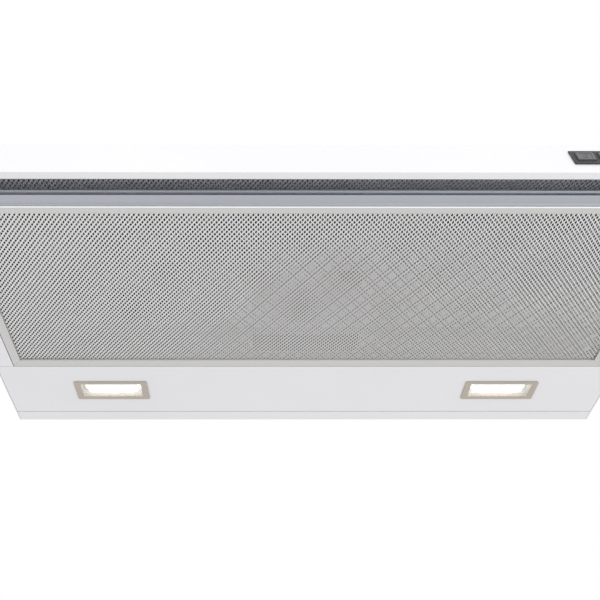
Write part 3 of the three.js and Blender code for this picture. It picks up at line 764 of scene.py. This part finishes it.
# ------------------------------------------------------------------ pull-out visor
# A second mesh filter in its own frame, which slides out on two steel runners. The fascia is
# folded from white sheet and screwed to the runners' front ends.
# Painted shade: the visor strands are tinted bluish grey and a little darker than the filter's
# strands, for the shade in the slot where they sit. Their higher roughness and low metalness also make
# them duller.
VISOR_DARK = (0.66, 0.67, 0.71, 1)
VISOR_LIGHT = (0.86, 0.87, 0.91, 1)
LANE_SHORTER = 0.04  # the pressed lane of a runner is this much shorter than the runner
dull_strands_painted_shade = strand_metal("dull_strands_painted_shade", VISOR_DARK, VISOR_LIGHT, 0.45, 0.2)
visor_frame = soften(cad_copy("visor_frame"), PLAIN_EDGE, 3)
settle(visor_frame, satin_profile, "visor_frame")
visor_low, visor_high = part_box("visor_mesh")
for part in expanded_field(
    "visor_strands",
    visor_low,
    visor_high,
    level=(visor_low.z + visor_high.z) / 2,
    pitch=STRAND_PITCH,
    share=0.60,
    lift=0.0010,
    crown=0.0,
):
    settle(part, dull_strands_painted_shade, "visor_mesh")
fascia = soften(cad_copy("visor_fascia"), SOFT_EDGE, 3)
settle(fascia, white, "visor_fascia")
for side in ("left", "right"):
    node = "visor_runner_" + side
    low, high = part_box(node)
    runner = soften(cad_copy(node), 0.0008, 3)
    lane = bead(high.y - low.y - LANE_SHORTER, 0.005, 0.0004)
    lane.data.transform(
        Matrix.Translation(((low.x + high.x) / 2, (low.y + high.y) / 2, low.z))
        @ Matrix.Rotation(math.pi / 2, 4, "Z")
    )
    settle(merge(runner, lane), zinc_sheet, node)

# ------------------------------------------------------------------ switch and buttons
# Five moulded push buttons snap into a dark bezel in the fascia, in front of a small green board
# that carries one switch each. Each cap has a dished face with a raised sign.
DISH_RIM = 0.0028
DISH_HALF = 0.0033
DISH_DEPTH = 0.0003
SIGN_RISE = 0.00025
SIGN_FOOT = 0.001  # how deep a sign is rooted in its cap
RING_RADII = (0.0014, 0.0020)
BAR_HALF = (0.0022, 0.0003)
DOT_RADIUS = 0.0005
DOT_STEP = 0.0016


def circuit_board():
    """Green solder mask over tracks, which show as a lighter pattern."""
    mask = Finish("circuit_board")
    tracks = mask.node("TexBrick", {"Vector": mask.place, "Scale": 140.0}, output="Fac")
    cloud = mask.noise(60.0)
    colour = mask.mix(0.6 * tracks + 0.3 * cloud, (0.02, 0.13, 0.06, 1), (0.06, 0.26, 0.12, 1))
    return mask.surface({"Base Color": colour, "Roughness": 0.3 + 0.1 * cloud}, tracks, 0.2)


board_green = circuit_board()
button_plastic = grained_plastic("button_plastic", (0.10, 0.10, 0.11, 1), (0.15, 0.15, 0.16, 1))
settle(soften(cad_copy("button_bezel"), PLAIN_EDGE, 3), dark_plastic, "button_bezel")
board = soften(cad_copy("switch_board"), 0.0001)
board_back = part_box("switch_board")[1].y
switches = []
for number in range(1, 6):
    node = "button_" + str(number)
    low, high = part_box(node)
    middle = (low + high) / 2
    cap = soften(cad_copy(node), SOFT_EDGE, 3)
    face = low.y + DISH_DEPTH
    dish = slab(
        "dish",
        (low.x + DISH_RIM, low.y - TOOL_PAST, middle.z - DISH_HALF),
        (high.x - DISH_RIM, face, middle.z + DISH_HALF),
    )
    cut_away(cap, dish)
    if number == 1:
        inner, outer = RING_RADII
        ring = [(inner, SIGN_FOOT), (inner, -SIGN_RISE), (outer, -SIGN_RISE), (outer, SIGN_FOOT)]
        sign = turned("sign", ring, 24, "y", (middle.x, face, middle.z))
    elif number == 2:
        sign = slab(
            "sign",
            (middle.x - BAR_HALF[0], face - SIGN_RISE, middle.z - BAR_HALF[1]),
            (middle.x + BAR_HALF[0], face + SIGN_FOOT, middle.z + BAR_HALF[1]),
        )
    else:
        dots = number - 2
        pin = [(0, SIGN_FOOT), (DOT_RADIUS, SIGN_FOOT), (DOT_RADIUS, -SIGN_RISE), (0, -SIGN_RISE)]
        first = middle.x - DOT_STEP / 2 * (dots - 1)
        places = [(first + DOT_STEP * i, face, middle.z) for i in range(dots)]
        sign = copies(turned("sign", pin, 16, "y"), places)
    settle(merge(cap, sign), button_plastic, node)
    switches.append((middle.x, board_back, middle.z))
switch = slab("switch", (-0.003, -0.0002, -0.003), (0.003, 0.0025, 0.003))
board = merge(board, copies(soften(switch, PLAIN_EDGE), switches))
settle(board, board_green, "switch_board")

# ------------------------------------------------------------------ fan box
# Four folded galvanised sheets round the blower, spot-welded at the corners. Long beads are
# pressed in each face against drumming. A bracket at each side, held by one screw, fixes the hood
# to the cabinet.
RECESS_ARM = (0.0016, 0.0004)  # half the length and half the width of a cross recess's arm
RECESS_DEPTH = 0.0011
bright_steel = drawn_aluminium("bright_steel", (0.50, 0.50, 0.51, 1), (0.68, 0.68, 0.69, 1), 0.22)
node = "box_front"
box_low, box_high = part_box(node)
beads = copies(
    bead(0.42, BEAD_WIDTH, BEAD_RISE),
    [(0, box_low.y, z) for z in BEAD_LEVELS],
    TOWARDS["-y"],
)
seam_places = [
    (sign * (box_high.x - WELD_INSET), box_low.y, 0.02 + 0.03 * i)
    for sign in (-1, 1)
    for i in range(5)
]
front = merge(soften(cad_copy(node), PLAIN_EDGE), beads, welds(seam_places, "-y"))
settle(front, zinc_sheet, node)
for side, sign, outward in (("left", -1, "-x"), ("right", 1, "+x")):
    node = "box_" + side
    low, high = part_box(node)
    outer_x = high.x if sign > 0 else low.x
    lying = TOWARDS[outward] @ Matrix.Rotation(math.pi / 2, 4, "Z")
    beads = copies(
        bead(0.12, BEAD_WIDTH, BEAD_RISE),
        [(outer_x, (low.y + high.y) / 2, z) for z in BEAD_LEVELS[1:]],
        lying,
    )
    settle(merge(soften(cad_copy(node), PLAIN_EDGE), beads), zinc_sheet, node)
top_low, top_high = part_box("box_top")
top_beads = copies(bead(0.44, 0.010, 0.0010), [(0, top_low.y + 0.016, top_high.z)])
top_welds = welds([(x * 0.9, top_low.y + 0.005, top_high.z) for x in WELD_XS], "+z")
roof = merge(soften(cad_copy("box_top"), PLAIN_EDGE), top_beads, top_welds)
settle(roof, zinc_sheet, "box_top")


def cross_screw(node):
    """A pan-head screw as in the CAD, rounded, with a cross recess in its head."""
    low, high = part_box(node)
    middle = (low + high) / 2
    piece = soften(cad_copy(node), FINE_EDGE, 2)
    for half_x, half_y in (RECESS_ARM, RECESS_ARM[::-1]):
        arm_low = (middle.x - half_x, middle.y - half_y, high.z - RECESS_DEPTH)
        arm_high = (middle.x + half_x, middle.y + half_y, high.z + TOOL_PAST)
        cut_away(piece, slab("recess", arm_low, arm_high))
    return settle(piece, bright_steel, node)


for side in ("left", "right"):
    settle(soften(cad_copy("side_bracket_" + side), SOFT_EDGE, 3), zinc_sheet, "side_bracket_" + side)
    cross_screw("bracket_screw_" + side)

# ------------------------------------------------------------------ blower
# A moulded scroll in three parts holds a drum impeller with forward-curved blades. The motor hangs
# in the left eye from a pressed steel strap, and its ground shaft drives the hub.
BLADE_COUNT = 36
BLADE_SWEEP = math.radians(19.25)  # from a blade's inner edge to its tip, round the axis
BLADE_INNER = 0.046
BLADE_SHEET = 0.0008
BLADE_TIP_GAP = 0.0006
HOOP_WIDTH = 0.002
PLATE_HALF = 0.001
HUB_RADII = (0.0045, 0.011)  # of the bore and of the outside
HUB_ENDS = (-0.006, 0.013)
FIN_STARTS = (-0.012, -0.007, -0.002, 0.003, 0.008)
FIN_WIDTH = 0.0012
FIN_SINK = 0.001
FIN_RISE = 0.0008


def cast_metal():
    """Die-cast motor shell: coarse, matt and a little mottled."""
    shell = Finish("motor_casting")
    grit = shell.noise(260.0, 5.0)
    cloud = shell.noise(18.0)
    colour = shell.mix(0.5 * grit + 0.5 * cloud, (0.30, 0.31, 0.32, 1), (0.46, 0.47, 0.48, 1))
    values = {"Base Color": colour, "Roughness": 0.45 + 0.15 * grit, "Metallic": 0.7}
    return shell.surface(values, grit, 0.35)


motor_metal = cast_metal()
settle(soften(cad_copy("scroll_wrap"), PLAIN_EDGE), dark_plastic, "scroll_wrap")
for side in ("left", "right"):
    node = "scroll_side_" + side
    settle(soften(cad_copy(node), PLAIN_EDGE), dark_plastic, node)

drum_low, drum_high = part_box("impeller")
drum = (drum_low + drum_high) / 2
drum_radius = (drum_high.y - drum_low.y) / 2
bpy.ops.object.select_all(action="DESELECT")
bpy.ops.mesh.primitive_grid_add(x_subdivisions=1, y_subdivisions=5, size=1)
blade = bpy.context.active_object
blade.name = "impeller_wheel"
for vertex in blade.data.vertices:
    share = vertex.co.y + 0.5
    radius = BLADE_INNER + (drum_radius - BLADE_TIP_GAP - BLADE_INNER) * share
    angle = BLADE_SWEEP * share**2
    x = vertex.co.x * (drum_high.x - drum_low.x - HOOP_WIDTH)
    vertex.co = (x, radius * math.cos(angle), radius * math.sin(angle))
modify(blade, "SOLIDIFY", thickness=BLADE_SHEET, offset=0.0)
twins = []
for index in range(BLADE_COUNT):
    twin = bpy.data.objects.new("blade", blade.data.copy())
    turn = Matrix.Rotation(math.tau * index / BLADE_COUNT, 4, "X")
    twin.data.transform(Matrix.Translation(drum) @ turn)
    bpy.context.scene.collection.objects.link(twin)
    twins.append(twin)
bpy.data.objects.remove(blade)
wheel = merge(*twins)
wheel.name = "impeller_wheel"
half = (drum_high.x - drum_low.x) / 2


def hoop(start, end, inner):
    """A flat ring of the wheel between two places on its axis."""
    outline = [(inner, start), (drum_radius, start), (drum_radius, end), (inner, end)]
    return turned("hoop", outline, 72, "x", drum)


bore, hub_radius = HUB_RADII
hub = [(bore, HUB_ENDS[0]), (hub_radius, HUB_ENDS[0]), (hub_radius, HUB_ENDS[1]), (bore, HUB_ENDS[1])]
rings = [
    hoop(-half, -half + HOOP_WIDTH, BLADE_INNER),
    hoop(half - HOOP_WIDTH, half, BLADE_INNER),
    hoop(-PLATE_HALF, PLATE_HALF, bore),
    turned("hub", hub, 32, "x", drum),
]
wheel = merge(wheel, *rings)
settle(wheel, dark_plastic, "impeller")

motor_low, motor_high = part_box("motor_body")
motor_mid = (motor_low + motor_high) / 2
motor_radius = (motor_high.z - motor_low.z) / 2
motor = soften(cad_copy("motor_body"), 0.0006, 3)
fin_foot, fin_tip = motor_radius - FIN_SINK, motor_radius + FIN_RISE
fins = [
    turned(
        "fin",
        [(fin_foot, x), (fin_tip, x), (fin_tip, x + FIN_WIDTH), (fin_foot, x + FIN_WIDTH)],
        64,
        "x",
        motor_mid,
    )
    for x in FIN_STARTS
]
settle(merge(motor, *fins), motor_metal, "motor_body")
settle(soften(cad_copy("motor_bracket"), SOFT_EDGE, 3), zinc_sheet, "motor_bracket")
settle(soften(cad_copy("motor_shaft"), SOFT_EDGE, 3), bright_steel, "motor_shaft")

# ------------------------------------------------------------------ duct collar and dampers
# A moulded 120 mm collar, screwed to the roof of the fan box. Two pale flaps hang on one steel pin
# across it, open in the air stream and fall shut when the fan stops.
collar_low, collar_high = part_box("duct_collar")
collar_mid = (collar_low + collar_high) / 2
NECK_RADIUS = 0.060
RIB_SINK = 0.0005
RIB_RISE = 0.0007
RIB_SLOPE = 0.0006  # the height of each third of a rib: rising, flat and falling
RIB_DEPTHS = (0.010, 0.018)  # below the collar's upper edge
rib_foot, rib_top = NECK_RADIUS - RIB_SINK, NECK_RADIUS + RIB_RISE
collar_ribs = [
    turned(
        "collar_rib",
        [
            (rib_foot, z),
            (rib_top, z + RIB_SLOPE),
            (rib_top, z + 2 * RIB_SLOPE),
            (rib_foot, z + 3 * RIB_SLOPE),
        ],
        96,
        "z",
        (collar_mid.x, collar_mid.y, 0),
    )
    for z in (collar_high.z - depth for depth in RIB_DEPTHS)
]
collar = soften(cad_copy("duct_collar"), SOFT_EDGE, 2)
settle(merge(collar, *collar_ribs), dark_plastic, "duct_collar")
settle(soften(cad_copy("damper_pin"), PLAIN_EDGE), bright_steel, "damper_pin")
for side in ("front", "rear"):
    node = "damper_flap_" + side
    settle(soften(cad_copy(node), PLAIN_EDGE), pale_plastic, node)
for number in (1, 2):
    cross_screw("collar_screw_" + str(number))

# ------------------------------------------------------------------ electrics
# The mains lead enters by a gland in the roof and ends in a terminal box with a screwed lid. Beside
# it stand the lamps' driver and the motor's run capacitor, in a spring steel clip.
LID_SCREW_INSET = 0.007
TAB_OFFSET = 0.005  # from the capacitor's axis to each of its two tabs
settle(soften(cad_copy("terminal_box"), 0.0005, 3), pale_plastic, "terminal_box")
lid_low, lid_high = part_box("terminal_lid")
lid = soften(cad_copy("terminal_lid"), 0.0005, 3)
lid_screw = turned(
    "lid_screw", [(0, 0.0004), (0.003, 0.0004), (0.003, -0.0008), (0.002, -0.0014), (0, -0.0014)],
    20, "y"
)
lid_places = [
    (x, lid_low.y, z)
    for x in (lid_low.x + LID_SCREW_INSET, lid_high.x - LID_SCREW_INSET)
    for z in (lid_low.z + LID_SCREW_INSET, lid_high.z - LID_SCREW_INSET)
]
settle(merge(lid, copies(lid_screw, lid_places)), pale_plastic, "terminal_lid")
settle(soften(cad_copy("cable_gland"), 0.0005, 2), dark_plastic, "cable_gland")
settle(soften(cad_copy("led_driver"), 0.0010, 3), pale_plastic, "led_driver")
can_plastic = grained_plastic("can_plastic", (0.50, 0.51, 0.53, 1), (0.62, 0.63, 0.65, 1), 0.3)
can = soften(cad_copy("capacitor"), 0.0008, 3)
can_low, can_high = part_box("capacitor")
can_mid = (can_low + can_high) / 2
tab = slab("tab", (-0.0004, -0.003, 0), (0.0004, 0.003, 0.008))
tab_places = [(can_mid.x + x, can_mid.y, can_high.z) for x in (-TAB_OFFSET, TAB_OFFSET)]
tabs = copies(soften(tab, 0.0001), tab_places)
settle(merge(can, tabs), can_plastic, "capacitor")
settle(soften(cad_copy("capacitor_clip"), FINE_EDGE), bright_steel, "capacitor_clip")

# ------------------------------------------------------------------ studio
# A pale floor well below the hood, a white surround and large soft lamps, as in a product studio.
# The camera stands in front of the hood and below it, and looks up at the filter.
FLOOR_LEVEL = -0.95
bpy.ops.object.select_all(action="DESELECT")
bpy.ops.mesh.primitive_plane_add(size=14, location=(0, 0, FLOOR_LEVEL))
floor = bpy.context.active_object
floor.name = "studio_floor"
ground = Finish("studio_floor")
ground_tone = ground.mix(ground.noise(0.8), (0.84, 0.84, 0.84, 1), (0.86, 0.86, 0.86, 1))
floor.data.materials.append(ground.surface({"Base Color": ground_tone, "Roughness": 0.7}))

surround = bpy.data.worlds.new("studio_white")
surround.use_nodes = True
surround.node_tree.nodes["Background"].inputs["Color"].default_value = (1, 1, 1, 1)
surround.node_tree.nodes["Background"].inputs["Strength"].default_value = 1.0
bpy.context.scene.world = surround
bpy.context.scene.view_settings.view_transform = "Standard"


def soft_light(name, location, target, size, power):
    """A large square lamp that looks at a point and doesn't show itself."""
    lamp = bpy.data.lights.new(name, "AREA")
    lamp.size = size
    lamp.energy = power
    holder = bpy.data.objects.new(name, lamp)
    holder.location = location
    direction = Vector(target) - Vector(location)
    holder.rotation_euler = direction.to_track_quat("-Z", "Y").to_euler()
    holder.visible_camera = False
    bpy.context.scene.collection.objects.link(holder)


soft_light("under_light", (0.5, -0.9, -0.85), (0, -0.15, 0), 1.2, 4)
soft_light("front_light", (-0.6, -2.6, 0.9), (0, -0.2, 0), 1.6, 18)

CAMERA_PITCH = 45.62
CAMERA_YAW = 0.31
CAMERA_ROLL = -0.2
view = bpy.data.cameras.new("studio_camera")
view.sensor_width = 36
view.lens = 38.07
view.shift_x = 0.05
view.clip_start = 0.01
camera = bpy.data.objects.new("studio_camera", view)
camera.location = (-0.0382, -0.5582, -0.4303)
turns = (
    Matrix.Rotation(math.radians(-CAMERA_YAW), 4, "Z")
    @ Matrix.Rotation(math.radians(90 + CAMERA_PITCH), 4, "X")
    @ Matrix.Rotation(math.radians(CAMERA_ROLL), 4, "Z")
)
camera.rotation_euler = turns.to_euler()
bpy.context.scene.collection.objects.link(camera)
bpy.context.scene.camera = camera
